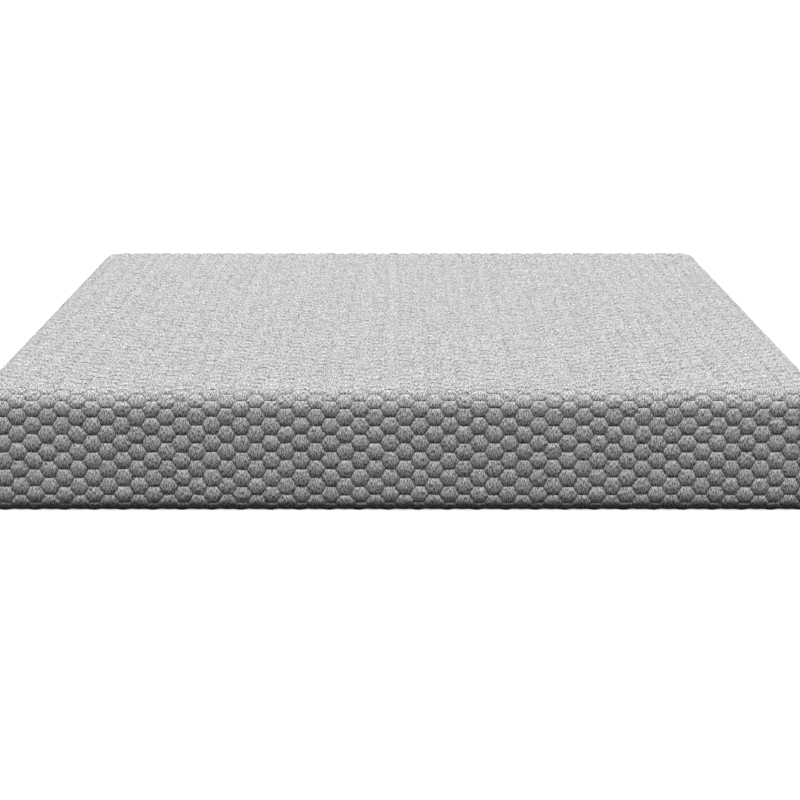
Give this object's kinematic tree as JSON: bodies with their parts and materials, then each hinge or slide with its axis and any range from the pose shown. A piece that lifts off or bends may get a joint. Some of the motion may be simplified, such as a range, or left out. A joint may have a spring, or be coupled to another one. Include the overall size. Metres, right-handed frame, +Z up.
{
  "type": "memory foam mattress",
  "caption": "King-size layered memory foam mattress in a zip-off cover of puffed hexagon knit, with a flat base and soft rounded edges.",
  "frame": {"origin": "middle of the underside, on the floor plane", "axes": "+Z up through the layers, +Y towards the head end with the zip, +X across the width"},
  "size_m": [1.93, 2.03, 0.2794],
  "materials": {
    "hexagon_knit": "puffed hexagon double knit in light heather grey",
    "base_cloth": "plain dark woven base cloth",
    "binding_tape": "ribbed woven tape",
    "sewing_thread": "twisted polyester thread",
    "memory_foam": "slow-recovery open-cell foam",
    "transition_foam": "open-cell foam",
    "support_foam": "dense open-cell foam",
    "sock_knit": "thin white tube knit",
    "zip_tape": "herringbone woven tape",
    "zip_coil": "nylon coil",
    "zip_metal": "grey lacquered zinc"
  },
  "bodies": {
    "mattress": {"memory_foam_layer": "memory_foam", "transition_foam_layer": "transition_foam", "support_foam_core": "support_foam", "fire_barrier_sock": "sock_knit", "sock_closing_seam": "sock_knit", "cover": "hexagon_knit", "base_panel": "base_cloth", "base_binding": "binding_tape", "corner_seam_front_left": "sewing_thread", "corner_seam_front_right": "sewing_thread", "corner_seam_back_left": "sewing_thread", "corner_seam_back_right": "sewing_thread", "zip_tape_upper": "zip_tape", "zip_tape_lower": "zip_tape", "zip_coil_upper": "zip_coil", "zip_coil_lower": "zip_coil", "zip_stitching_upper": "sewing_thread", "zip_stitching_lower": "sewing_thread", "zip_top_stops": "zip_coil", "zip_bottom_stop": "zip_coil"},
    "slider": {"zip_slider": "zip_metal"},
    "pull": {"zip_pull": "zip_metal"}
  },
  "joints": [
    {"name": "zip_slide", "type": "slide", "parent": "mattress", "child": "slider", "axis": [-1, 0, 0], "range_m": [0, 1.7294]},
    {"name": "pull_hinge", "type": "hinge", "parent": "slider", "child": "pull", "pos_m": [0.8647, 1.0126, 0.048], "axis": [0, 0, -1], "range_deg": [0, 180]}
  ]
}
